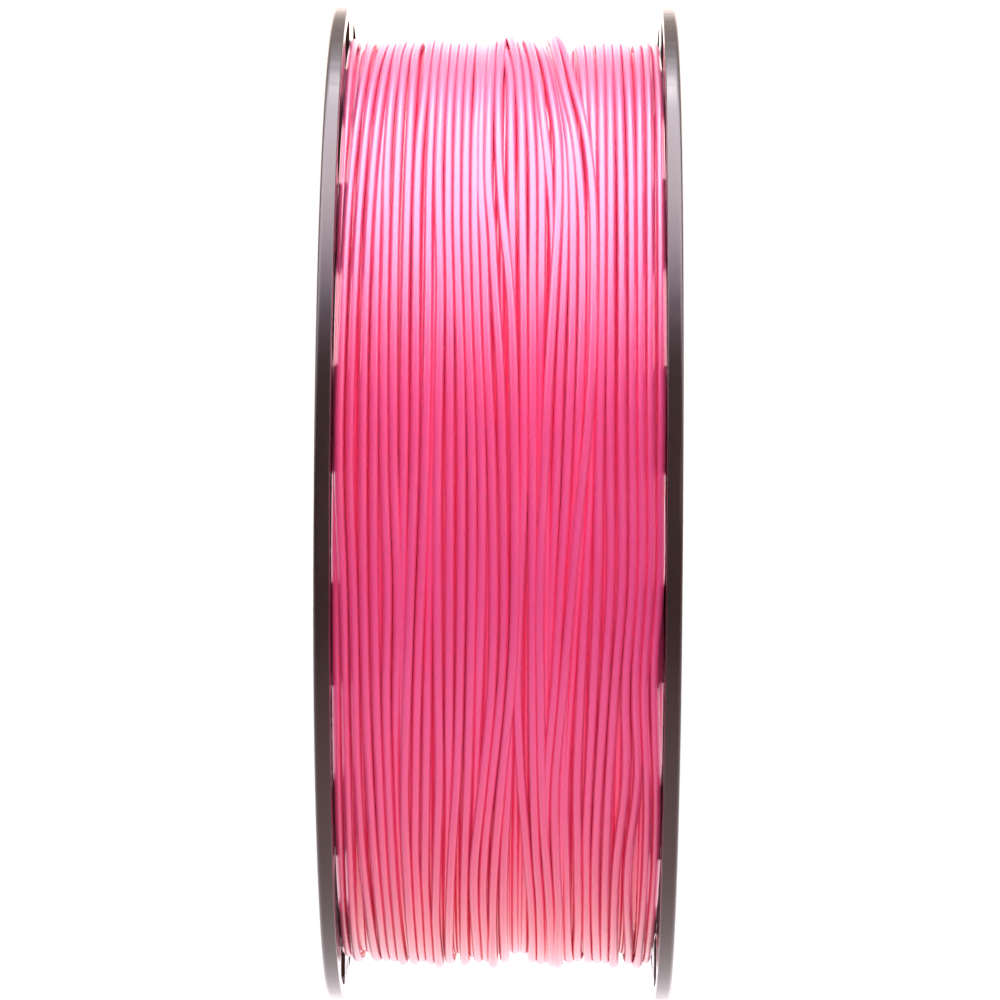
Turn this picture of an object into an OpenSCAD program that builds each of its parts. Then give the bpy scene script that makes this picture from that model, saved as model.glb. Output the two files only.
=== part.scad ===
// Line spool: two windowed flanges and a winding barrel held by recessed screws,
// wound with round plastic line. The axle lies along X, and the origin is its middle.

/* [Flanges] */
// Outer diameter of each flange
flange_d = 200; // [196:1:230]
// Width over both flanges
overall_w = 68; // [56:1:90]
// Width of the rim along the axle
rim_w = 3; // [2.4:0.1:4]
// Depth of the rim towards the axle
rim_depth = 3.2; // [3:0.1:4.5]
// Rounding of the rim's outward edge, where fingers meet it
rim_round = 0.9; // [0.5:0.1:1.1]
// Rounding of the rim's other edge, beside the line
rim_inner_round = 0.3; // [0.2:0.1:1.1]
// Thickness of the web, which is flush with the rim's inner side
web_t = 2; // [1.6:0.1:2.2]

/* [Windows] */
// Number of windows in each flange
window_count = 14; // [8:1:14]
// Angle that each window spans, in degrees
window_span = 13; // [9:0.5:15]
// Radius at the inner end of each window
window_inner_r = 62; // [60:1:75]
// Corner radius of each window
window_corner_r = 2.5; // [1.5:0.1:3.5]
// Angle of the first window below the front, in degrees
window_turn = 5.3; // [0:0.1:12]
// How far each window cuts into the rim
window_bite = 0.4; // [0.2:0.1:0.8]
// Width of the rib on each bar between windows
rib_w = 1.6; // [1.2:0.1:2.4]

/* [Hub] */
// Diameter of the bore that runs on a holder's spindle
bore_d = 53; // [40:0.5:56]
// Wall of the bore sleeve
sleeve_wall = 2.4; // [1.8:0.1:3]
// Width of the raised ring around the bore
hub_ring_w = 4.5; // [3.5:0.1:6]
// Chamfer at the mouth of the bore
bore_chamfer = 0.6; // [0.3:0.1:1]
// Diameter of the barrel that the line is wound on
barrel_d = 110; // [108:0.5:114]
// Wall of the barrel
barrel_wall = 2; // [1.6:0.1:2.6]
// Depth of the spigot that centres the barrel
spigot_depth = 3.2; // [2:0.1:3.4]
// Wall of the spigot
spigot_wall = 1.6; // [1.2:0.1:1.8]
// Width of the raised ring over the barrel's wall
barrel_ring_w = 2.5; // [2:0.1:4]

/* [Screws] */
// Number of screws in each flange
screw_count = 6; // [3:1:8]
// Radius of the circle that the screws lie on
screw_circle_r = 44.5; // [43:0.1:45]
// Shank diameter of each screw
screw_d = 3; // [2.5:0.1:3.5]
// Length of the shank
screw_l = 11; // [8:0.5:16]
// Head diameter
screw_head_d = 6; // [5:0.1:6.4]
// Head height
screw_head_h = 2; // [1.6:0.1:2.4]
// Wall and floor of the cup that each screw head sits in
cup_wall = 1.5; // [1.2:0.1:1.8]
// Depth of the cup's underside below the flange's inner side
cup_drop = 3.5; // [3.5:0.1:5]
// Diameter of the post that each screw bites into
post_d = 9; // [7:0.5:9.5]
// Thickness of the rib that ties each post to the barrel
post_rib_t = 2; // [1.5:0.1:3]

/* [Line] */
// Diameter of the line
line_d = 1.75; // [1.5:0.05:1.8]
// Outer diameter of the wound line
pack_d = 185; // [160:1:187]
// Turns drawn in the outer layer
outer_turn_count = 23; // [12:1:23]
// Side room between the wound line and each flange
pack_side_gap = 0.3; // [0.2:0.05:0.6]
// Diameter of the holes that hold the line's end
tail_hole_d = 2.3; // [2.1:0.1:2.6]
// Distance of those holes from the rim's outer edge
tail_hole_inset = 5.4; // [5:0.1:6]
// How far those holes lie to each side of a rib
tail_hole_offset = 4; // [3:0.1:5]
// Length of the line's inner end inside the barrel
inner_end_l = 7; // [4:0.5:10]
// Distance of the inner end from the left flange's inner side
inner_end_x = 7; // [5:0.5:12]

/* [Hidden] */

// Clearances
fit_gap = 0.2;
thread_gap = 0.05;
eps = 0.01;
$fn = 96;

// Planes along the axle, measured from the middle of the spool
rim_plane = overall_w / 2;
inner_plane = rim_plane - rim_w;
web_plane = inner_plane + web_t;
post_plane = inner_plane - cup_drop;
cup_floor = post_plane + cup_wall;
inner_end_z = inner_end_x - inner_plane;

// Radii
flange_r = flange_d / 2;
rim_inner_r = flange_r - rim_depth;
window_outer_r = rim_inner_r + window_bite;
bore_r = bore_d / 2;
barrel_r = barrel_d / 2;
barrel_bore_r = barrel_r - barrel_wall;
spigot_r = barrel_bore_r - fit_gap;
line_r = line_d / 2;
turn_r = pack_d / 2 - line_r;
cup_r = screw_head_d / 2 + fit_gap;
tail_hole_r = flange_r - tail_hole_inset;

// The front is at 180 degrees round the axle, and the top at 90
front = 180;
window_step = 360 / window_count;
first_window = front + window_turn;
first_bar = first_window + window_step / 2;
screw_step = 360 / screw_count;
first_screw = 90;
inner_end_angle = first_screw + screw_step / 2;

// Turns of line: facets of the tube, rings in a turn and least gap between turns
tube_sides = 6;
turn_rings = 24;
turn_gap_min = 0.4;
// A straight run between two rings dips this share below their circle
chord_share = cos(180 / turn_rings);
core_r = turn_r * chord_share - line_r - eps;
pack_half_w = inner_plane - pack_side_gap;

// Angle between a line and the surface that it dives into, and its depth
dive_angle = 14;
dive_l = 9;
dive_wall = 0.6;
turns_from = -(pack_half_w - line_r - fit_gap - dive_wall);
turns_to = inner_plane - pack_side_gap - line_r;
turn_pitch = (turns_to - turns_from) / outer_turn_count;

// The line's end climbs onto the last turns, drifts back over them and bends into a hole
tail_climb = line_d + turn_gap_min + 0.1;
tail_climb_angle = 60;
tail_drift_angle = 120;
tail_drift = 6;
tail_bend = 6;
tail_swing = 10;
tail_steps = 8;
tail_bar = floor(window_count / 2);
tail_hole_angle = first_bar + tail_bar * window_step
    - asin(tail_hole_offset / tail_hole_r);
turns_end_angle = tail_hole_angle + tail_swing + tail_climb_angle + tail_drift_angle;
turns_start_angle = turns_end_angle + 360 * outer_turn_count;

// ---- Helpers ----

// Turns what is drawn along Z so that it lies along the axle, X
module along_axle() rotate([90, 0, 90]) children();

// Copies round the axis, starting at an angle
module ring_of(count, start = 0)
    for (i = [0 : count - 1]) rotate([0, 0, start + i * 360 / count]) children();

function point_at(r, a) = [r * cos(a), r * sin(a)];
function axle_point(x, r, a) = [x, r * cos(a), r * sin(a)];
function unit(v) = v / norm(v);
function smooth(t) = t * t * (3 - 2 * t);

// Points along an arc of radius r about c, from angle a to angle b
function arc(c, r, a, b, steps = 4) =
    [for (i = [0 : steps]) c + point_at(r, a + (b - a) * i / steps)];

// Outline of a window with rounded corners between two radii
function window_outline(r1, r2, half, c) =
    let (outer = half - asin(c / (r2 - c)), inner = half - asin(c / (r1 + c)))
    concat(
        arc([0, 0], r2, -outer, outer, 5),
        arc(point_at(r2 - c, outer), c, outer, half + 90),
        arc(point_at(r1 + c, inner), c, half + 90, inner + 180),
        arc([0, 0], r1, inner, -inner, 3),
        arc(point_at(r1 + c, -inner), c, 180 - inner, 270 - half),
        arc(point_at(r2 - c, -outer), c, -90 - half, -outer));

// Cubic curve through four control points
function cubic(p, t) =
    pow(1 - t, 3) * p[0] + 3 * pow(1 - t, 2) * t * p[1]
    + 3 * (1 - t) * t * t * p[2] + pow(t, 3) * p[3];

// ---- Flanges ----

// Section of the rim with its two rounded edges
module rim_section() {
    translate([rim_inner_r, inner_plane]) {
        square([rim_depth - rim_round, rim_w]);
        square([rim_depth - rim_inner_round, rim_w - rim_round]);
        translate([0, rim_inner_round]) square([rim_depth, rim_w - rim_inner_round - rim_round]);
    }
    translate([flange_r - rim_inner_round, inner_plane + rim_inner_round])
        circle(rim_inner_round);
    translate([flange_r - rim_round, rim_plane - rim_round]) circle(rim_round);
}

// Section of the bore sleeve and the raised ring at its mouth
module sleeve_section() {
    polygon([
        [bore_r, 0], [bore_r + sleeve_wall, 0], [bore_r + sleeve_wall, web_plane - eps],
        [bore_r + hub_ring_w, web_plane - eps], [bore_r + hub_ring_w, rim_plane],
        [bore_r + bore_chamfer, rim_plane], [bore_r, rim_plane - bore_chamfer]
    ]);
}

// Everything on a flange that is turned about the axle
module flange_turned() {
    rotate_extrude() {
        translate([bore_r, inner_plane]) square([rim_inner_r + eps - bore_r, web_t]);
        rim_section();
        sleeve_section();
        translate([spigot_r - spigot_wall, inner_plane - spigot_depth])
            square([spigot_wall, spigot_depth + eps]);
        translate([barrel_r, web_plane - eps])
            square([barrel_ring_w, rim_plane - web_plane + eps]);
    }
}

// Ribs on the bars, level with the rim
module bar_ribs() {
    rib_from = barrel_r + barrel_ring_w / 2;
    ring_of(window_count, first_bar)
        translate([rib_from, -rib_w / 2, web_plane - eps])
            cube([rim_inner_r + eps - rib_from, rib_w, rim_plane - web_plane + eps]);
}

// Ribs on the hub disc, between the screws
module hub_ribs() {
    rib_from = bore_r + hub_ring_w / 2;
    ring_of(screw_count, first_screw + screw_step / 2)
        translate([rib_from, -rib_w / 2, web_plane - eps])
            cube([barrel_r + eps - rib_from, rib_w, rim_plane - web_plane + eps]);
}

module windows() {
    outline = window_outline(window_inner_r, window_outer_r, window_span / 2,
                             window_corner_r);
    ring_of(window_count, first_window)
        translate([0, 0, inner_plane - 1]) linear_extrude(rim_w + 2) polygon(outline);
}

// Two holes beside the rib of every second bar, where the line's end can be poked through
module tail_holes() {
    offset_angle = asin(tail_hole_offset / tail_hole_r);
    for (i = [tail_bar % 2 : 2 : window_count - 1], side = [-1, 1])
        rotate([0, 0, first_bar + i * window_step + side * offset_angle])
            translate([tail_hole_r, 0, inner_plane - 1]) cylinder(d = tail_hole_d, h = rim_w + 2);
}

module screw_cup_walls() {
    ring_of(screw_count, first_screw) translate([screw_circle_r, 0, post_plane])
        cylinder(r = cup_r + cup_wall, h = web_plane - post_plane);
}

module screw_cup_holes() {
    ring_of(screw_count, first_screw) translate([screw_circle_r, 0, 0]) {
        translate([0, 0, cup_floor]) cylinder(r = cup_r, h = rim_w + cup_drop);
        translate([0, 0, post_plane - 1]) cylinder(d = screw_d + 2 * fit_gap, h = cup_wall + 2);
    }
}

// A flange on the +X side
module flange() {
    along_axle() difference() {
        union() {
            flange_turned();
            bar_ribs();
            hub_ribs();
            screw_cup_walls();
        }
        windows();
        tail_holes();
        screw_cup_holes();
    }
}

module right_flange() color("#241f1e") flange();
module left_flange() color("#241f1e") mirror([1, 0, 0]) flange();

// ---- Barrel ----

module posts() {
    ring_of(screw_count, first_screw) {
        translate([screw_circle_r, 0, -post_plane]) cylinder(d = post_d, h = 2 * post_plane);
        translate([screw_circle_r, -post_rib_t / 2, -post_plane])
            cube([barrel_bore_r + barrel_wall / 2 - screw_circle_r, post_rib_t,
                  2 * post_plane]);
    }
}

module pilot_holes() {
    depth = screw_l - cup_wall + 1;
    ring_of(screw_count, first_screw) for (side = [-1, 1])
        translate([screw_circle_r, 0, side * (post_plane - depth / 2 + eps)])
            cylinder(d = screw_d + 2 * thread_gap, h = depth, center = true);
}

module inner_end_hole() {
    rotate([0, 0, inner_end_angle]) translate([barrel_bore_r - 1, 0, inner_end_z])
        rotate([0, 90, 0]) cylinder(d = line_d + 2 * fit_gap, h = barrel_wall + 2);
}

module barrel() {
    color("#2b2625") along_axle() difference() {
        union() {
            rotate_extrude() translate([barrel_bore_r, -inner_plane])
                square([barrel_wall, 2 * inner_plane]);
            posts();
        }
        pilot_holes();
        inner_end_hole();
    }
}

// ---- Screws ----

// A pan-head screw that points down, with its seat at z = 0
module screw() {
    slot_w = screw_d * 0.3;
    slot_l = screw_head_d * 0.55;
    slot_depth = screw_head_h * 0.6;
    dome = screw_head_h * 0.35;
    difference() {
        union() {
            translate([0, 0, -screw_l]) cylinder(d = screw_d, h = screw_l + eps);
            cylinder(d = screw_head_d, h = screw_head_h - dome);
            translate([0, 0, screw_head_h - dome - eps])
                cylinder(d1 = screw_head_d, d2 = screw_head_d * 0.7, h = dome + eps);
        }
        for (a = [0, 90]) rotate([0, 0, a])
            translate([-slot_l / 2, -slot_w / 2, screw_head_h - slot_depth])
                cube([slot_l, slot_w, slot_depth + 1]);
    }
}

// The screws of the +X side
module screws() {
    along_axle() ring_of(screw_count, first_screw)
        translate([screw_circle_r, 0, cup_floor]) screw();
}

module right_screws() color("silver") screws();
module left_screws() color("silver") mirror([1, 0, 0]) screws();

// ---- Line ----

// Where the outer layer starts, and the way that the line dives from there into the windings
dive_from = axle_point(turns_from, turn_r, turns_start_angle);
dive_way = unit(
    cos(dive_angle) * [0, -sin(turns_start_angle), cos(turns_start_angle)]
    - sin(dive_angle) * [0, cos(turns_start_angle), sin(turns_start_angle)]);

// The outer layer runs across the spool in a left-handed helix
function layer_points() =
    [for (i = [0 : outer_turn_count * turn_rings])
        let (t = i / turn_rings)
        axle_point(turns_from + turn_pitch * t, turn_r, turns_start_angle - 360 * t)];

// Then it climbs one thickness and drifts back over the last turns
function tail_points() =
    let (steps = (tail_climb_angle + tail_drift_angle) / 360 * turn_rings)
    [for (i = [1 : steps])
        let (swept = i * 360 / turn_rings,
             rise = smooth(min(1, swept / tail_climb_angle)),
             drift = smooth(max(0, (swept - tail_climb_angle) / tail_drift_angle)))
        axle_point(turns_to - tail_drift * drift, turn_r + tail_climb * rise,
                   turns_end_angle - swept)];

// And bends outwards into a hole in the right flange
function bend_points() =
    let (a = tail_hole_angle + tail_swing,
         from = axle_point(turns_to - tail_drift, turn_r + tail_climb, a),
         to = axle_point(inner_plane - line_d, tail_hole_r, tail_hole_angle),
         way = [0, sin(a), -cos(a)],
         p = [from, from + tail_bend * way, to - [tail_bend, 0, 0], to])
    concat(
        [for (i = [1 : tail_steps]) cubic(p, i / tail_steps)],
        [to + [rim_plane - inner_plane + line_d - fit_gap, 0, 0]]);

line_points = concat(
    [dive_from + dive_l * dive_way, dive_from + line_d * dive_way],
    layer_points(), tail_points(), bend_points());

// Rings of a tube along the points, each turned so that one corner points away from the axle
function tube_ring(points, i) =
    let (last = len(points) - 1,
         way = unit(points[min(i + 1, last)] - points[max(i - 1, 0)]),
         out = unit([0, points[i][1], points[i][2]]),
         across = unit(cross(way, out)),
         up = cross(across, way))
    [for (k = [0 : tube_sides - 1])
        let (a = 360 * k / tube_sides)
        points[i] + line_r * (cos(a) * up + sin(a) * across)];

function tube_faces(rings, n) = concat(
    [for (i = [0 : rings - 2], k = [0 : n - 1], half = [0, 1])
        let (a = i * n + k, b = i * n + (k + 1) % n)
        half == 0 ? [a, b, a + n] : [b, b + n, a + n]],
    [for (k = [1 : n - 2]) [0, k + 1, k]],
    [for (k = [1 : n - 2]) let (e = (rings - 1) * n) [e, e + k, e + k + 1]]);

module outer_turns() {
    rings = [for (i = [0 : len(line_points) - 1]) each tube_ring(line_points, i)];
    color("#e8508f") polyhedron(rings, tube_faces(len(line_points), tube_sides),
                                convexity = 10);
}

// Least gap between one turn and the next, measured from each point to the runs a turn away
function to_run(p, a, b) =
    let (t = max(0, min(1, (p - a) * (b - a) / ((b - a) * (b - a)))))
    norm(p - a - t * (b - a));
turn_gap = min([for (i = [0 : len(line_points) - 1],
                     j = [i + turn_rings / 2 : min(i + 2 * turn_rings, len(line_points) - 2)])
    to_run(line_points[i], line_points[j], line_points[j + 1])]) - line_d;
echo(least_gap_between_turns = turn_gap);

module inner_windings() {
    color("#d8417f") difference() {
        along_axle() rotate_extrude() translate([barrel_r, -pack_half_w])
            square([core_r - barrel_r, 2 * pack_half_w]);
        // The line's last stretch under the outer layer
        dive_hole();
    }
}

// Runs from the end of the dive past the surface of the windings
module dive_hole() {
    up = -dive_way;
    translate(dive_from + dive_l * dive_way)
        rotate([0, acos(up[2]), atan2(up[1], up[0])])
            cylinder(r = line_r + fit_gap, h = dive_l + line_d);
}

module line_inner_end() {
    color("#e8508f") along_axle() rotate([0, 0, inner_end_angle])
        translate([barrel_r - eps, 0, inner_end_z])
            rotate([0, -90, 0]) cylinder(d = line_d, h = barrel_wall + inner_end_l);
}

left_flange();
right_flange();
barrel();
left_screws();
right_screws();
inner_windings();
outer_turns();
line_inner_end();
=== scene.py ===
"""Line spool: the looks of two black flanges wound full with glossy pink line.

Elevations round the axle (X) are in degrees: 0 is the front (-Y), 90 the top, 180 the back and
-90 the bottom. The windings are worked out in millimetres, and everything else is in metres.
"""
import math

import bpy
import numpy as np
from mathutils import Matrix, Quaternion, Vector


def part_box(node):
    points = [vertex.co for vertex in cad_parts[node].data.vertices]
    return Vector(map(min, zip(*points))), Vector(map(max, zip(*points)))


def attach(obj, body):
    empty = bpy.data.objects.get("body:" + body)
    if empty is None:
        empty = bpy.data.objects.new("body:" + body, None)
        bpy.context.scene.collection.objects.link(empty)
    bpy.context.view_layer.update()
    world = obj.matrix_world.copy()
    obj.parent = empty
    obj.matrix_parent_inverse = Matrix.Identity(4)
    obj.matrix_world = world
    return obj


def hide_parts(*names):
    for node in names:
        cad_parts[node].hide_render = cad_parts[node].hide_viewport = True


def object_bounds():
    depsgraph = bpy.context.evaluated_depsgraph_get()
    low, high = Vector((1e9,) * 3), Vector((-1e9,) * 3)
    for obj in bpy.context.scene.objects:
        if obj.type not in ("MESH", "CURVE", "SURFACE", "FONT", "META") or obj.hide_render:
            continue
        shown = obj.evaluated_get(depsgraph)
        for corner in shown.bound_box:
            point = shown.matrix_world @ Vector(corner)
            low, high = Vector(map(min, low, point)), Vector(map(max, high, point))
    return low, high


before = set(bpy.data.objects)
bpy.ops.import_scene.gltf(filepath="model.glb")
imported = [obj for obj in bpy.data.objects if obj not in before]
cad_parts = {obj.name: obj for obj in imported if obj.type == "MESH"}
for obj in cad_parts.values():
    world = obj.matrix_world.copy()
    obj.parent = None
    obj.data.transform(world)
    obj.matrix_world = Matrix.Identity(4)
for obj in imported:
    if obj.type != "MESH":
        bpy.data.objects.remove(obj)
cad_low, cad_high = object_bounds()

MM = 0.001


def add_object(name, data):
    made = bpy.data.objects.new(name, data)
    bpy.context.scene.collection.objects.link(made)
    return made


def add_mesh(name, points, faces):
    mesh = bpy.data.meshes.new(name)
    mesh.from_pydata(points, [], faces)
    return add_object(name, mesh)


# ---- Camera: at the photograph's viewing angle, a little below the axle and close by ----

CAMERA_PLACE = Vector((0.0091, -1.1081, -0.0429))
CAMERA_LENS = 198.0
CAMERA_SHIFT = (-0.0028, 0.0018)
CAMERA_ROLL = math.radians(0.4)


def make_camera():
    data = bpy.data.cameras.new("camera")
    data.lens = CAMERA_LENS
    data.sensor_width = 36.0
    data.shift_x, data.shift_y = CAMERA_SHIFT
    data.clip_start, data.clip_end = 0.05, 50.0
    camera = add_object("camera", data)
    camera.location = CAMERA_PLACE
    camera.rotation_mode = "QUATERNION"
    facing = (-CAMERA_PLACE).to_track_quat("-Z", "Y")
    camera.rotation_quaternion = facing @ Quaternion((0, 0, 1), CAMERA_ROLL)
    bpy.context.scene.camera = camera


# ---- Materials ----


def new_material(name):
    material = bpy.data.materials.new(name)
    material.use_nodes = True
    material.node_tree.nodes.clear()
    return material


class Graph:
    """Adds nodes to a tree and links them by socket name."""

    def __init__(self, tree):
        self.tree = tree

    def node(self, kind, links=(), **values):
        """A new node. Values go to the sockets of the same name, or to the node's own settings
        where they start with set_."""
        made = self.tree.nodes.new("ShaderNode" + kind)
        for key, value in values.items():
            if key.startswith("set_"):
                setattr(made, key[4:], value)
            else:
                made.inputs[key.replace("_", " ")].default_value = value
        for socket, source in dict(links).items():
            self.tree.links.new(source, made.inputs[socket])
        return made

    def noise(self, vector, scale, detail):
        made = self.node("TexNoise", {"Vector": vector}, Scale=scale, Detail=detail, Roughness=0.55)
        return made.outputs["Fac"]

    def spread(self, value, start, end, low, high, curve="LINEAR"):
        """Carries a value's range from start to end over to the range from low to high."""
        limits = dict(From_Min=start, From_Max=end, To_Min=low, To_Max=high)
        made = self.node("MapRange", {"Value": value}, set_interpolation_type=curve, **limits)
        return made.outputs["Result"]

    def smooth(self, value, start, end, low, high):
        return self.spread(value, start, end, low, high, "SMOOTHSTEP")

    def ramp(self, value, stops):
        """A smooth curve through stops, given as (degrees out of 180, grey level or colour)."""
        made = self.node("ValToRGB", {"Fac": value})
        ramp = made.color_ramp
        ramp.interpolation = "EASE"
        while len(ramp.elements) < len(stops):
            ramp.elements.new(0.5)
        for element, (degrees, level) in zip(ramp.elements, stops):
            colour = level if isinstance(level, tuple) else (level, level, level)
            element.position = degrees / 180
            element.color = (*colour, 1)
        return made.outputs["Color"]

    def math(self, operation, a, b=None):
        made = self.tree.nodes.new("ShaderNodeMath")
        made.operation = operation
        for i, value in enumerate((a, b)):
            if isinstance(value, (int, float)):
                made.inputs[i].default_value = value
            elif value is not None:
                self.tree.links.new(value, made.inputs[i])
        return made.outputs[0]

    def mix_colours(self, factor, a, b):
        made = self.node("Mix", {"Factor": factor}, set_data_type="RGBA")
        # The sockets named A and B come once for each data type
        for socket in made.inputs:
            if socket.type == "RGBA":
                socket.default_value = (*(a if socket.name == "A" else b), 1)
        return next(s for s in made.outputs if s.type == "RGBA")

    def bump(self, height, strength, distance):
        made = self.node("Bump", {"Height": height}, Strength=strength, Distance=distance)
        return made.outputs["Normal"]

    def finish(self, shader, kind="OutputMaterial"):
        self.node(kind, {"Surface": shader})


def line_material():
    """Opaque pink plastic line: a smooth skin under a soft, hazy gloss."""
    material = new_material("pink_line")
    g = Graph(material.node_tree)
    place = g.node("TexCoord").outputs["Object"]
    patches = g.noise(place, 45, 2)
    colour = g.mix_colours(patches, (0.978, 0.048, 0.095), (0.985, 0.058, 0.125))
    shader = g.node(
        "BsdfPrincipled", {"Base Color": colour}, Roughness=0.27, IOR=1.45,
        Coat_Weight=1.0, Coat_Roughness=0.55, Coat_IOR=1.6,
        Sheen_Weight=0.1, Sheen_Roughness=0.4, Sheen_Tint=(0.75, 0.8, 1.0, 1.0),
    )
    g.finish(shader.outputs["BSDF"])
    return material


def black_plastic(name, rough_low, rough_high):
    """Moulded black plastic with a brown cast, faint flow marks and fine scuffs."""
    material = new_material(name)
    g = Graph(material.node_tree)
    place = g.node("TexCoord").outputs["Object"]
    cloud = g.noise(place, 30, 4)
    grain = g.noise(place, 1400, 3)
    streaks = g.node("Mapping", {"Vector": place}, Scale=(60, 900, 900))
    scuff = g.noise(streaks.outputs["Vector"], 1, 5)
    colour = g.mix_colours(cloud, (0.034, 0.015, 0.007), (0.056, 0.026, 0.012))
    worn = g.spread(scuff, 0.35, 0.75, rough_low, rough_high)
    normal = g.bump(grain, 0.05, 0.05 * MM)
    shader = g.node(
        "BsdfPrincipled", {"Base Color": colour, "Roughness": worn, "Normal": normal},
        IOR=1.45, Specular_Tint=(1.0, 0.79, 0.77, 1.0),
    )
    g.finish(shader.outputs["BSDF"])
    return material


def screw_material():
    """Zinc-plated steel, bright in some places and duller in others."""
    material = new_material("zinc_steel")
    g = Graph(material.node_tree)
    place = g.node("TexCoord").outputs["Object"]
    patches = g.noise(place, 600, 4)
    colour = g.mix_colours(patches, (0.50, 0.50, 0.48), (0.66, 0.66, 0.63))
    rough = g.spread(patches, 0.3, 0.7, 0.25, 0.42)
    shader = g.node("BsdfPrincipled", {"Base Color": colour, "Roughness": rough}, Metallic=1.0)
    g.finish(shader.outputs["BSDF"])
    return material


def dress(nodes, material):
    """Fills the material slots of the CAD nodes."""
    for name in nodes:
        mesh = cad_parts[name].data
        if not mesh.materials:
            mesh.materials.append(material)
        for i in range(len(mesh.materials)):
            mesh.materials[i] = material


# ---- Windings: how turns of a round line come to rest on each other ----

LINE_D = 1.75
# The distance between the middles of two touching turns, which press into each other a little
CONTACT_D = 1.62
# The radius of the wound line, to its outside
PACK_R = 92.5
# The radius at which the outer turns lie where nothing lifts them
SURFACE_R = PACK_R - LINE_D / 2
# How far the turns beside a flange reach past the side of the plain CAD solid
WALL_REACH = 0.22
# The place along the axle of the turns beside a flange
WALL_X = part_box("inner_windings")[1].x / MM - LINE_D / 2 + WALL_REACH
# The radius of the barrel under the windings
BARREL_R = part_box("barrel")[1].z / MM
# The steps of a turn, the degrees of one, and the width of the height field's cells
STEPS = 180
STEP = 360 / STEPS
CELL = 0.1
CELLS = np.arange(-WALL_X - LINE_D, WALL_X + LINE_D, CELL)
# The elevations of one turn, from the back over the top, down the front and under the bottom
ELEVATIONS = 180 - STEP * np.arange(STEPS)
# Steps to each side over which a turn's bends are softened
SOFTENED = 2
# Sides of the tubes of the outer line and of the turns below and beside it
OUTER_SIDES = 12
INNER_SIDES = 8


def curve_through(t, x, at):
    """A smooth curve through points, whose slopes follow from their neighbours."""
    slope = np.gradient(x, t)
    i = np.clip(np.searchsorted(t, at, side="right") - 1, 0, len(t) - 2)
    h = t[i + 1] - t[i]
    s = (at - t[i]) / h
    return (
        (1 + 2 * s) * (1 - s) ** 2 * x[i]
        + s * (1 - s) ** 2 * h * slope[i]
        + s * s * (3 - 2 * s) * x[i + 1]
        + s * s * (s - 1) * h * slope[i + 1]
    )


def ease(t):
    t = np.clip(t, 0, 1)
    return t * t * (3 - 2 * t)


# Rounds of pushing turns apart, the room that they get over their contact, and the share of what
# they lack that each is pushed in one round
PUSHES = 80
ROOM = 1.03
PUSH = 0.4


def spread_turns(x, free):
    """Pushes turns apart until they lie side by side. free is 1 where a turn needs room of its
    own, and 0 where it lies over or under the others."""
    x = x.copy()
    for _ in range(PUSHES):
        for lag in (1, 2, 3):
            between = sum(free[i : i + len(free) - lag] for i in range(1, lag))
            need = ROOM * CONTACT_D * free[:-lag] * free[lag:] * (1 + between)
            short = np.maximum(0, need - (x[lag:] - x[:-lag])) * PUSH
            x[lag:] += short * free[lag:]
            x[:-lag] -= short * free[:-lag]
        x = np.where(free > 0.5, np.clip(x, -WALL_X, WALL_X), x)
    return np.clip(x, -WALL_X, WALL_X)


def taut(r):
    """Pulls a turn straight between the places that it rests on, as chords in its plane."""
    u = 1 / r
    reach = 12
    best = u.copy()
    step = math.radians(STEP)
    for a in range(1, reach + 1):
        for b in range(1, reach + 1):
            chord = np.roll(u, a) * math.sin(b * step) + np.roll(u, -b) * math.sin(a * step)
            best = np.minimum(best, chord / math.sin((a + b) * step))
    return 1 / best


def soften(values, half_width):
    """A running mean with a rounded window, round one turn."""
    offsets = range(-half_width, half_width + 1)
    weights = [1 + math.cos(math.pi * o / (half_width + 1)) for o in offsets]
    return sum(w * np.roll(values, o) for w, o in zip(weights, offsets)) / sum(weights)


# The share of its height over the others that a turn loses by pressing down into them
PRESSED = 0.45


def lay_turns(field, x, order, raised=None):
    """Lays the turns one after the other on the height field and returns their radii."""
    r = np.zeros_like(x)
    rows = np.arange(STEPS)
    for k in order:
        column = np.clip(np.round((x[k] - CELLS[0]) / CELL).astype(int), 0, len(CELLS) - 1)
        rest = field[rows, column]
        rest = rest - PRESSED * np.maximum(0, rest - SURFACE_R)
        r[k] = soften(taut(rest), SOFTENED)
        if raised is not None:
            r[k] += raised[k]
        away = (CELLS[None, :] - x[k][:, None]) / CONTACT_D
        top = r[k][:, None] + LINE_D * np.sqrt(np.maximum(0, 1 - away**2))
        field[:] = np.where(np.abs(away) < 1, np.maximum(field, top), field)
    return r


def join_turns(x, r):
    """One unbroken line from the turns, without a step in height where one ends and the next
    begins."""
    r = r.copy()
    blend = 10
    fade = ease(np.arange(blend, 0, -1) / blend)
    for k in range(len(r) - 1):
        jump = r[k + 1, 0] - r[k, -1]
        r[k, -blend:] += jump / 2 * fade[::-1]
        r[k + 1, :blend] -= jump / 2 * fade
    turned = STEP * np.arange(x.size)
    return np.column_stack([x.ravel(), r.ravel(), 180 - turned])


def in_space(points):
    """Points (x, r, elevation) in the spool's frame, in metres."""
    x, r, e = points.T
    e = np.radians(e)
    return np.column_stack([x, -r * np.cos(e), r * np.sin(e)]) * MM


# The share of each strip of the bake map that is used, along the line and across it
MAP_USE = (0.999, 0.96)


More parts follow.
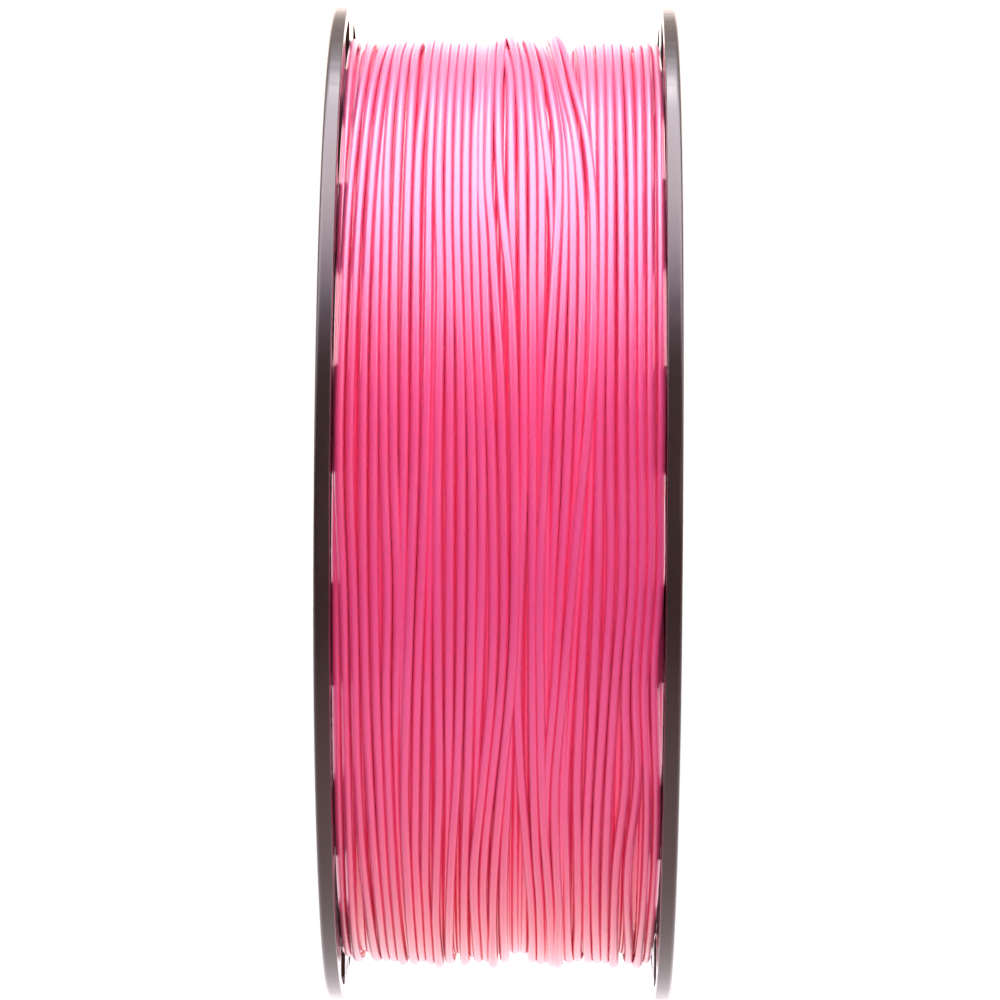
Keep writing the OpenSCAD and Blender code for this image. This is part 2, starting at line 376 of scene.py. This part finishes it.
def tube(name, path, sides, rings_per_row):
    """A round tube along a path. Its bake map has one strip for each row of rings."""
    radius = LINE_D / 2 * MM
    way = np.gradient(path, axis=0)
    way /= np.linalg.norm(way, axis=1)[:, None]
    out = path * [0, 1, 1]
    out /= np.linalg.norm(out, axis=1)[:, None]
    across = np.cross(way, out)
    across /= np.linalg.norm(across, axis=1)[:, None]
    up = np.cross(across, way)
    angles = 2 * math.pi * np.arange(sides) / sides
    rings = path[:, None, :] + radius * (
        np.cos(angles)[None, :, None] * up[:, None, :]
        + np.sin(angles)[None, :, None] * across[:, None, :]
    )
    count = len(path)
    i, k = np.meshgrid(np.arange(count - 1), np.arange(sides), indexing="ij")
    after = (k + 1) % sides
    faces = np.stack(
        [i * sides + k, i * sides + after, (i + 1) * sides + after, (i + 1) * sides + k], axis=-1
    ).reshape(-1, 4)
    ends = [list(range(sides))[::-1], list(range((count - 1) * sides, count * sides))]
    made = add_mesh(name, rings.reshape(-1, 3).tolist(), faces.tolist() + ends)
    rows = math.ceil(count / rings_per_row)
    u = (i % rings_per_row) / rings_per_row
    v = (i // rings_per_row) / rows
    du, dv = MAP_USE[0] / rings_per_row, MAP_USE[1] / rows / sides
    v = v + k * dv
    corners = [(u, v), (u, v + dv), (u + du, v + dv), (u + du, v)]
    uv = np.stack([np.stack(c, axis=-1) for c in corners], axis=2).reshape(-1, 2)
    layer = made.data.uv_layers.new(name="OFBake")
    flat = np.zeros((len(made.data.loops), 2), np.float32)
    flat[: len(uv)] = uv
    layer.data.foreach_set("uv", flat.ravel())
    made.data.shade_smooth()
    return made


# ---- The outer layer: each turn's way down the front, as (elevation, place along the axle) ----

# under: the elevations between which a turn lies below its neighbours. over: it lies on top,
# and the highest number lies uppermost. lift: (elevation, how far it stands out there).
TURNS = [
    dict(way=[(78, -30.1), (-75, -30.1)], under=[(56, -32)], lift=[(80, 1.0)]),
    dict(way=[(78, -26.8), (58, -27.5), (38, -28.8), (24, -29.3), (0, -29.6), (-12, -28.8),
              (-24, -28.5), (-48, -28.3), (-75, -28.3)]),
    dict(way=[(78, -24), (58, -25.5), (36, -26.8), (24, -27.3), (0, -27.6), (-12, -26.9),
              (-36, -26.4), (-48, -25.9), (-60, -25.2), (-75, -24.6)]),
    dict(way=[(78, -22.2), (58, -23.5), (36, -24.8), (12, -25.3), (-12, -25), (-36, -24.2),
              (-60, -23.1), (-75, -22.5)]),
    dict(way=[(78, -20.6), (47, -22.8), (24, -23.3), (0, -23.2), (-24, -22.7), (-48, -21.9),
              (-75, -20.9)], under=[(95, 45)]),
    dict(way=[(78, -20.6), (47, -21.8), (24, -21.7), (0, -21.2), (-12, -20.5), (-24, -20.8),
              (-48, -20.2), (-75, -19.2)], lift=[(-87, 0.6)]),
    dict(way=[(78, -19.5), (24, -19.9), (0, -19.4), (-12, -18.6), (-30, -19), (-75, -18)],
         under=[(-36, -95)]),
    dict(way=[(78, -17.6), (24, -17.8), (0, -17.6), (-24, -17.8), (-75, -17)], under=[(-8, -95)]),
    dict(way=[(78, -14.6), (58, -15.2), (47, -15.8), (0, -15.7), (-24, -16.9), (-60, -18.5)],
         lift=[(83, 0.8)]),
    dict(way=[(78, -13), (36, -13.7), (24, -13.5), (0, -13.7), (-24, -15), (-48, -15.8),
              (-70, -17.3)]),
    dict(way=[(78, -12.6), (0, -12.5), (-24, -13.1), (-48, -13.8), (-75, -14.6)],
         under=[(95, -17)], lift=[(-87, 0.9)]),
    dict(way=[(78, -11.6), (36, -11.9), (24, -11.3), (0, -11.4), (-24, -11.1), (-36, -11),
              (-48, -11.5), (-70, -12.3)], lift=[(-87, 1.2)]),
    dict(way=[(78, -10), (47, -10.3), (24, -9.5), (0, -9.1), (-36, -9.2), (-70, -10.1)],
         under=[(-42, -95)]),
    dict(way=[(78, -8.5), (36, -8.2), (0, -6.9), (-24, -7.1), (-36, -7.6), (-48, -8.7),
              (-60, -9.3), (-75, -9.8)]),
    dict(way=[(78, -7), (36, -6.8), (24, -6.2), (0, -4.9), (-36, -5.6), (-48, -6.2), (-75, -6.8)],
         lift=[(-87, 0.7)]),
    dict(way=[(78, -5), (58, -4.9), (37, -5.4), (24, -4.6), (0, -3.1), (-36, -4), (-70, -5.2)],
         under=[(-32, -95)]),
    dict(way=[(78, -3.8), (40, -4), (24, -3.1), (0, -1.2), (-24, -1.1), (-36, -2.4), (-48, -4.3),
              (-75, -4)], under=[(95, 44)]),
    dict(way=[(78, -2.4), (47, -2.7), (36, -2.5), (24, -1.1), (12, 0.2), (0, 0.8), (-24, 0.75),
              (-36, -1.2), (-48, -2.5), (-75, -2.9)]),
    dict(way=[(78, -0.6), (58, -1), (47, -0.8), (38, -0.3), (30, 0.7), (24, 1.7), (12, 2.6),
              (0, 3), (-12, 3.2), (-20, 2.9), (-28, 2), (-35, 1), (-48, -0.4), (-75, -1.2)],
         over=2, lift=[(-87, 0.6)]),
    dict(way=[(78, 1), (36, 1.9), (24, 2.3), (0, 3.2), (-24, 2.8), (-36, 2.1), (-48, 1.3),
              (-75, 1)], under=[(22, -32)]),
    dict(way=[(78, 3.1), (36, 3.9), (12, 4.5), (0, 4.6), (-12, 4), (-24, 3.6), (-32, 4),
              (-48, 5.5), (-70, 7.1)], lift=[(83, 1.5)]),
    dict(way=[(78, 3.9), (58, 4.9), (47, 5.8), (24, 6), (0, 6.3), (-26, 6.5), (-48, 7.3),
              (-70, 9.1)]),
    dict(way=[(78, 4.9), (58, 6), (47, 6.9), (37, 7.4), (12, 7.5), (-24, 7.2), (-75, 8.4)],
         under=[(10, -95)]),
    dict(way=[(78, 4.6), (66, 5.8), (58, 6.8), (47, 8), (38, 9.2), (30, 9.7), (0, 8.9),
              (-75, 9.6)], under=[(33, -95)], over=1),
    dict(way=[(78, 6.4), (66, 8), (58, 9), (47, 10.4), (38, 10.8), (24, 10), (12, 9.1), (0, 8.4),
              (-12, 7.7), (-26, 8), (-39, 8.4), (-58, 9.9), (-75, 10.4)], over=3),
    dict(way=[(78, 8), (58, 10.4), (47, 11.8), (36, 12.1), (12, 11.1), (0, 10.6), (-20, 9.6),
              (-75, 10.6)], under=[(95, 52), (-12, -95)]),
    dict(way=[(78, 9), (58, 11), (47, 12.6), (36, 13.4), (24, 13.5), (0, 12.5), (-12, 11.6),
              (-26, 10.4), (-34, 9.4), (-75, 11)], under=[(95, 56), (-40, -95)], over=4),
    dict(way=[(78, 9.4), (58, 11.6), (47, 13.7), (36, 15), (24, 15.3), (5, 14.6), (-12, 13.2),
              (-75, 12.2)], under=[(-2, -95)], over=5, lift=[(83, 0.9)]),
    dict(way=[(84, 9.4), (68, 12.2), (58, 13.7), (47, 15.9), (37, 17.1), (24, 17.4), (12, 17),
              (5, 16.3), (-3, 14.9), (-12, 13.7), (-26, 12), (-39, 10.7), (-48, 11), (-58, 11.6),
              (-75, 11.4)], over=6),
    dict(way=[(78, 14.8), (58, 15.6), (36, 16.5), (0, 15.5), (-26, 13.6), (-39, 12.6), (-48, 12.9),
              (-75, 13.6)], under=[(50, -29)]),
    dict(way=[(78, 16.6), (47, 17.3), (0, 16.9), (-12, 16.2), (-39, 14.9), (-58, 15.6),
              (-75, 15.4)], under=[(42, -5)]),
    dict(way=[(78, 18.8), (24, 18.9), (0, 18.5), (-12, 18.4), (-26, 17.7), (-48, 16.7),
              (-75, 17.4)]),
    dict(way=[(78, 20.4), (36, 20.6), (0, 20.6), (-12, 20.8), (-24, 19.9), (-48, 18.6),
              (-75, 19.2)]),
    dict(way=[(78, 22), (36, 22.6), (0, 22.8), (-12, 23), (-24, 21.8), (-48, 20.6), (-75, 20.8)]),
    dict(way=[(78, 23.8), (48, 24.4), (0, 24.8), (-12, 25), (-24, 23.7), (-36, 24.2), (-48, 22.8),
              (-75, 22.6)], lift=[(-87, 0.9)]),
    dict(way=[(78, 26.2), (0, 26.5), (-12, 26.8), (-24, 25.6), (-36, 26.4), (-48, 25),
              (-75, 25.6)], lift=[(-87, 0.5)]),
    dict(way=[(78, 28), (0, 28.2), (-12, 28.4), (-24, 27.2), (-36, 28.2), (-75, 27.8)],
         lift=[(-87, 1.1)]),
    dict(way=[(78, 29.8), (0, 29.9), (-24, 29.2), (-36, 29.8), (-75, 29.4)]),
]
# How far a turn sinks where it lies below its neighbours, and the degrees that it takes
SINK = 0.9
FADE = 14
# Degrees to each side over which a turn that stands out comes back down
LIFT_REACH = 26
# The elevation past which the ways give over to even spacing at the back, the degrees that it
# takes, and how much of the way there is still the front's
BACK_FROM = 130
BACK_FADE = 20
FRONT_SHARE = 0.35
# The line's end leaves the last turn at TAIL_X, turns by TAIL_TURN degrees and goes through a hole
# in the right flange, TAIL_HOLE_R from the axle, to TAIL_INSET from the flange's outer side
TAIL_X = 24.0
TAIL_TURN = -15.7
TAIL_HOLE_R = 94.6
TAIL_INSET = 0.3


def outer_routes():
    """The place along the axle of each outer turn at each step, how free it is to be pushed,
    and how far it is raised."""
    count = len(TURNS)
    seams = np.linspace(-WALL_X, WALL_X, count + 1)
    knots_t, knots_x = [], []
    for k, turn in enumerate(TURNS):
        way = np.array(turn["way"], float)
        start, end = seams[k], seams[k + 1]
        if k == count - 1:
            end = TAIL_X
        after_back = (1 - FRONT_SHARE) * start + FRONT_SHARE * way[0, 1]
        before_back = (1 - FRONT_SHARE) * end + FRONT_SHARE * way[-1, 1]
        elevations = np.concatenate([[180, BACK_FROM], way[:, 0], [-BACK_FROM]])
        knots_t.append(360 * k + 180 - elevations)
        knots_x.append(np.concatenate([[start, after_back], way[:, 1], [before_back]]))
    knots_t = np.append(np.concatenate(knots_t), 360 * count)
    knots_x = np.append(np.concatenate(knots_x), TAIL_X)
    at = STEP * np.arange(count * STEPS)
    x = curve_through(knots_t, knots_x, at).reshape(count, STEPS)
    free = np.ones_like(x)
    raised = np.zeros_like(x)
    for k, turn in enumerate(TURNS):
        for high, low in turn.get("under", []):
            below_high = ease((high + FADE - ELEVATIONS) / FADE)
            inside = below_high * ease((ELEVATIONS - low + FADE) / FADE)
            free[k] *= 1 - inside
            raised[k] -= SINK * inside
        for elevation, height in turn.get("lift", []):
            raised[k] += height * ease(1 - np.abs(ELEVATIONS - elevation) / LIFT_REACH)
        if "over" in turn:
            free[k] *= 1 - ease((BACK_FROM + BACK_FADE - np.abs(ELEVATIONS)) / BACK_FADE)
    return x, free, raised


def laying_order():
    """The buried turns first, then those side by side, then those on top."""
    def rank(k):
        turn = TURNS[k]
        if "over" in turn:
            return 1 + turn["over"]
        return 0 if "under" in turn else 1
    return sorted(range(len(TURNS)), key=rank)


# The layers drawn below the outer one, the turns of each, and how deep they nest in each other
INNER_LAYERS = 2
INNER_TURNS = 33
NEST = 0.35
# The radius at which those layers start
INNER_R = PACK_R - LINE_D * (INNER_LAYERS + 1) + NEST


def inner_routes(rng, sign):
    """A wandering layer of turns side by side, across the spool to the right or the left."""
    count = INNER_TURNS
    at = np.arange(count * STEPS) / STEPS
    across = np.linspace(-WALL_X, WALL_X, count * STEPS)
    wander = np.zeros_like(at)
    # Six waves, from slow ones of twenty turns to quick ones of half a turn
    for _ in range(6):
        wander += rng.uniform(0.2, 0.45) * np.sin(
            2 * math.pi * (rng.uniform(0.05, 2.2) * at + rng.uniform())
        )
    x = (across + wander).reshape(count, STEPS)
    x = spread_turns(np.clip(x, -WALL_X, WALL_X), np.ones_like(x))
    return x if sign > 0 else -x


def make_windings(material):
    rng = np.random.default_rng(7)
    field = np.full((STEPS, len(CELLS)), INNER_R + LINE_D / 2)
    inner_paths = []
    for layer in range(INNER_LAYERS):
        x = inner_routes(rng, -1 if layer % 2 else 1)
        r = lay_turns(field, x, range(len(x)))
        inner_paths.append(join_turns(x, r))
    x, free, raised = outer_routes()
    x = spread_turns(x, free)
    x[1:-1] = [soften(row, SOFTENED) for row in x[1:-1]]
    r = lay_turns(field, x, laying_order(), raised)

    line = tube("wound_line", in_space(with_ends(join_turns(x, r))), OUTER_SIDES, STEPS)
    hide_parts("outer_turns")
    made = [line]
    for i, points in enumerate(inner_paths):
        name = "inner_layer_%d" % (i + 1)
        made.append(tube(name, in_space(points[::2]), INNER_SIDES, STEPS // 2))
    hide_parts("inner_windings")
    for side, name in ((-1, "left_edge_turns"), (1, "right_edge_turns")):
        made.append(tube(name, in_space(edge_spiral(side)), INNER_SIDES, EDGE_STEPS))
    made.append(core())
    for piece in made:
        piece.data.materials.append(material)
        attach(piece, "root")


# Points of the outer line over which it comes up from below, and of its end
START_POINTS = 6
TAIL_POINTS = 13


def with_ends(points):
    """The outer line with its start, which comes up from below, and its end, which bends into
    the hole in the flange."""
    start = points[:START_POINTS].copy()
    start[:, 1] -= LINE_D * ease(1 - np.arange(START_POINTS) / (START_POINTS - 1))
    last = points[-1]
    r = last[1]
    t = np.linspace(0, 1, TAIL_POINTS + 1)[1:]
    # The end has turned and climbed before it goes straight through the flange
    elevation = last[2] + TAIL_TURN * np.minimum(1, 1.35 * t)
    x = last[0] + (cad_high.x / MM - TAIL_INSET - last[0]) * ease(t) ** 1.2
    radius = r + (TAIL_HOLE_R - r) * ease(1.3 * t)
    tail = np.column_stack([x, radius, elevation])
    return np.concatenate([start, points[START_POINTS:], tail])


# The turns beside a flange: their steps, their rise from layer to layer, the share of a turn that
# the rise takes, and how far they keep from the outer layer's reach
EDGE_STEPS = 90
EDGE_RISE = 0.97 * LINE_D
EDGE_CLIMB = 0.2
EDGE_INSET = 0.1


def edge_spiral(side):
    """The outermost turn of each inner layer, stepping up from layer to layer beside a flange."""
    turns = int((INNER_R - BARREL_R) / EDGE_RISE)
    t = np.arange(turns * EDGE_STEPS) / EDGE_STEPS
    whole = np.floor(t)
    climb = ease((t - whole - (1 - EDGE_CLIMB)) / EDGE_CLIMB)
    r = BARREL_R + LINE_D / 2 + EDGE_RISE * (whole + climb)
    x = np.full_like(r, side * (WALL_X - EDGE_INSET))
    return np.column_stack([x, r, 180 - 360 * t])


# How far the core stays below the outer turns' middles and inside those beside the flanges
CORE_DEPTH = 1.2
CORE_INSET = 0.9


def core():
    """The closed mass of line below the layers that show."""
    half = WALL_X - CORE_INSET
    radius = SURFACE_R - CORE_DEPTH
    sides = 120
    section = [(-half, BARREL_R), (half, BARREL_R), (half, radius), (-half, radius)]
    angles = 2 * math.pi * np.arange(sides) / sides
    points = [
        (x * MM, -r * math.cos(a) * MM, r * math.sin(a) * MM) for a in angles for x, r in section
    ]
    faces = []
    for i in range(sides):
        after = (i + 1) % sides
        for k in range(4):
            n = (k + 1) % 4
            faces.append((4 * i + k, 4 * i + n, 4 * after + n, 4 * after + k))
    return add_mesh("winding_core", points, faces)


# ---- Stage: pale floor, white surroundings and a large soft light overhead ----

FLOOR_HALF = 4.0


def floor_material():
    """A pale floor that is white to the camera, but for a small share that takes the shadow. To
    glossy surfaces it glows with a painted light that is bright under the object and darkens to the
    front and the back."""
    material = new_material("floor")
    g = Graph(material.node_tree)
    path = g.node("LightPath").outputs
    pale = g.node("BsdfDiffuse", Color=(0.85, 0.85, 0.85, 1))
    white = g.node("Emission", Color=(1, 1, 1, 1), Strength=1.1)
    seen = g.node("MixShader", {1: pale.outputs[0], 2: white.outputs[0]})
    g.tree.links.new(g.math("MULTIPLY", path["Is Camera Ray"], 0.92), seen.inputs[0])
    place = g.node("NewGeometry").outputs["Position"]
    y = g.node("SeparateXYZ", {"Vector": place}).outputs["Y"]
    front = g.smooth(y, -0.24, -0.03, 0.03, 2.0)
    back = g.smooth(y, 0.2, 0.5, 1, 0.1)
    # Painted light: the floor glows for glossy rays, strongest under the object
    lit = g.node(
        "Emission", {"Strength": g.math("MULTIPLY", front, back)}, Color=(1, 0.91, 0.95, 1)
    )
    mix = g.node("MixShader", {0: path["Is Glossy Ray"], 1: seen.outputs[0], 2: lit.outputs[0]})
    g.finish(mix.outputs[0])
    return material


def make_floor():
    corners = [(-1, -1), (1, -1), (1, 1), (-1, 1)]
    points = [(FLOOR_HALF * x, FLOOR_HALF * y, cad_low.z) for x, y in corners]
    floor = add_mesh("floor", points, [(0, 1, 2, 3)])
    floor.data.materials.append(floor_material())


# How bright the surroundings are to glossy surfaces, round the axle from the front over the top
# to the back, as (degrees, share of the peak)
TENT = [(0, 0.008), (28, 0.02), (40, 0.15), (50, 0.52), (60, 0.82), (72, 1), (88, 0.96),
        (102, 0.76), (112, 0.4), (120, 0.16), (130, 0.07), (144, 0.07), (153, 0.19), (162, 0.22),
        (172, 0.2), (180, 0.35)]
TENT_PEAK = 14.3
# Their colour in the same way: violet low in front, lilac overhead and warm behind
TENT_COLOURS = [(20, (0.58, 0.62, 1.0)), (75, (0.84, 0.89, 1.0)), (112, (0.86, 0.88, 1.0)),
                (136, (1.0, 0.86, 0.80))]


def make_world():
    world = bpy.data.worlds.new("world")
    bpy.context.scene.world = world
    world.use_nodes = True
    world.node_tree.nodes.clear()
    g = Graph(world.node_tree)
    path = g.node("LightPath").outputs
    seen = g.math("MAXIMUM", path["Is Camera Ray"], path["Is Transmission Ray"])
    soft = g.node("Background", Color=(1, 1, 1, 1), Strength=0.17)
    white = g.node("Background", Color=(1, 1, 1, 1), Strength=1.0)
    # Glossy surfaces see a broad light overhead, which fades towards the front and the sides
    direction = g.node("TexCoord").outputs["Generated"]
    parts = g.node("SeparateXYZ", {"Vector": direction}).outputs
    front = g.math("MULTIPLY", parts["Y"], -1)
    turned = g.math("DIVIDE", g.math("ARCTAN2", parts["Z"], front), math.pi)
    sideways = g.smooth(g.math("ABSOLUTE", parts["X"]), 0.5, 1.0, 1.0, 0.5)
    share = g.math("MULTIPLY", g.ramp(turned, TENT), sideways)
    bright = g.math("MULTIPLY", share, TENT_PEAK)
    room = g.node("Background", {"Color": g.ramp(turned, TENT_COLOURS), "Strength": bright})
    glossy = path["Is Glossy Ray"]
    lit = g.node("MixShader", {0: glossy, 1: soft.outputs[0], 2: room.outputs[0]})
    mix = g.node("MixShader", {0: seen, 1: lit.outputs[0], 2: white.outputs[0]})
    g.finish(mix.outputs[0], "OutputWorld")


def area_light(name, place, aim, size, power, colour=(1, 1, 1), glossy=True):
    data = bpy.data.lights.new(name, "AREA")
    data.color = colour
    data.shape = "RECTANGLE"
    data.size, data.size_y = size
    data.energy = power
    lamp = add_object(name, data)
    lamp.location = place
    lamp.rotation_mode = "QUATERNION"
    lamp.rotation_quaternion = (Vector(aim) - Vector(place)).to_track_quat("-Z", "Y")
    lamp.visible_glossy = glossy


def make_lights():
    """Soft lamps in front and overhead, which glossy surfaces don't see, since the surroundings
    give them theirs, and two that they do see."""
    area_light("overhead", (0, -0.2, 0.75), (0, -0.2, 0), (0.9, 1.2), 5.6, (0.5, 1, 3.1), False)
    area_light("fill", (0.05, -1.3, -0.04), (0, 0, -0.03), (0.5, 0.2), 2.65, glossy=False)
    area_light("low_fill", (0.02, -0.55, -0.092), (0, 0, -0.05), (0.3, 0.012), 0.8,
               (0.8, 0.88, 1.7), False)
    area_light("side", (0.75, -0.7, 0), (0, 0, 0), (1.1, 0.3), 1.4, (1, 0.8, 0.66))
    area_light("highlight", (0, 0.2, 0.95), (0, 0, 0), (0.05, 0.1), 1.1)


# ---- The scene ----

# Light goes back and forth many times in the gaps between the turns
BOUNCES = 24

bpy.context.scene.view_settings.view_transform = "Standard"
bpy.context.scene.cycles.max_bounces = BOUNCES
bpy.context.scene.cycles.diffuse_bounces = BOUNCES
make_camera()
make_world()
make_floor()
make_lights()
dress(["left_flange", "right_flange"], black_plastic("black_flange", 0.14, 0.28))
dress(["barrel"], black_plastic("black_barrel", 0.35, 0.5))
dress(["left_screws", "right_screws"], screw_material())
pink = line_material()
dress(["line_inner_end"], pink)
make_windings(pink)
